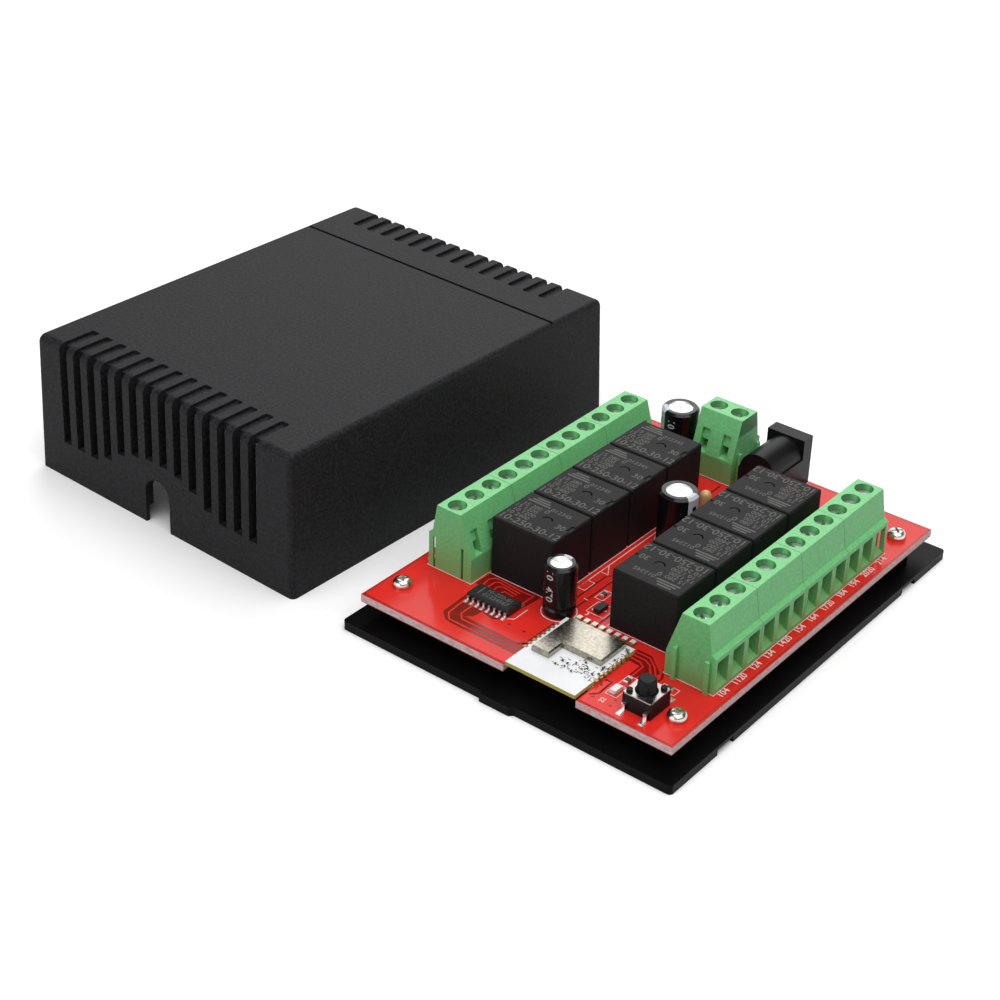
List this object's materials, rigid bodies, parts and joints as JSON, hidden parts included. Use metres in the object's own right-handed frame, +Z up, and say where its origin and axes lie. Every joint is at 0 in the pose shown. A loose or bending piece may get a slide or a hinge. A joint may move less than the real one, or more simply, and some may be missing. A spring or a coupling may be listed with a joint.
{
  "type": "relay module board",
  "caption": "Relay module board with screw terminals along both sides, a power socket and a radio module, on a flat base plate, with its slotted cover taken off beside it.",
  "frame": {"origin": "middle of the base plate's underside, which stands on the table", "axes": "+X from the left row of terminals to the right row, away from the cover; +Y from the push button's edge to the power socket's edge; +Z up"},
  "size_m": [0.165, 0.1001, 0.0312],
  "materials": {
    "case_black": "fine grained",
    "board_red": "glossy lacquer",
    "terminal_green": "satin",
    "relay_black": "satin",
    "socket_black": "satin",
    "screw_nickel": "nickel plated",
    "clamp_steel": "zinc plated",
    "lead_tin": "tinned",
    "shield_nickel": "satin nickel",
    "sleeve_black": "glossy shrink sleeve",
    "can_aluminium": "satin",
    "bung_rubber": "matt",
    "module_white": "glossy lacquer",
    "chip_black": "moulded",
    "button_black": "satin",
    "lamp_white": "translucent",
    "part_brown": "fired",
    "bead_tan": "dipped"
  },
  "bodies": {
    "board": {"base_plate": "case_black", "bead_capacitor": "bead_tan", "bead_leads": "lead_tin", "board_screws": "screw_nickel", "button_body": "button_black", "button_dome": "shield_nickel", "button_legs": "lead_tin", "button_plate": "shield_nickel", "capacitor_bungs": "bung_rubber", "capacitor_can_1": "can_aluminium", "capacitor_can_2": "can_aluminium", "capacitor_can_3": "can_aluminium", "capacitor_leads": "lead_tin", "capacitor_sleeve_1": "sleeve_black", "capacitor_sleeve_2": "sleeve_black", "capacitor_sleeve_3": "sleeve_black", "chip_parts": "part_brown", "circuit_board": "board_red", "cover": "case_black", "driver_chip": "chip_black", "driver_chip_leads": "lead_tin", "indicator_lamp": "lamp_white", "jack_pin": "screw_nickel", "jack_tabs": "lead_tin", "module_board": "module_white", "module_pads": "lead_tin", "module_shield": "shield_nickel", "power_jack": "socket_black", "power_terminal": "terminal_green", "relay_1": "relay_black", "relay_2": "relay_black", "relay_3": "relay_black", "relay_4": "relay_black", "relay_5": "relay_black", "relay_6": "relay_black", "relay_7": "relay_black", "relay_8": "relay_black", "relay_pins": "lead_tin", "terminal_cages": "clamp_steel", "terminal_left_1": "terminal_green", "terminal_left_2": "terminal_green", "terminal_left_3": "terminal_green", "terminal_left_4": "terminal_green", "terminal_right_1": "terminal_green", "terminal_right_2": "terminal_green", "terminal_right_3": "terminal_green", "terminal_right_4": "terminal_green", "terminal_screws": "clamp_steel", "transistor_leads": "lead_tin", "transistors": "chip_black"},
    "plunger": {"button_plunger": "button_black"}
  },
  "joints": [
    {"name": "button_press", "type": "slide", "parent": "board", "child": "plunger", "axis": [0, 0, -1], "range_m": [0, 0.00025], "stiffness_N_per_m": 3000}
  ]
}
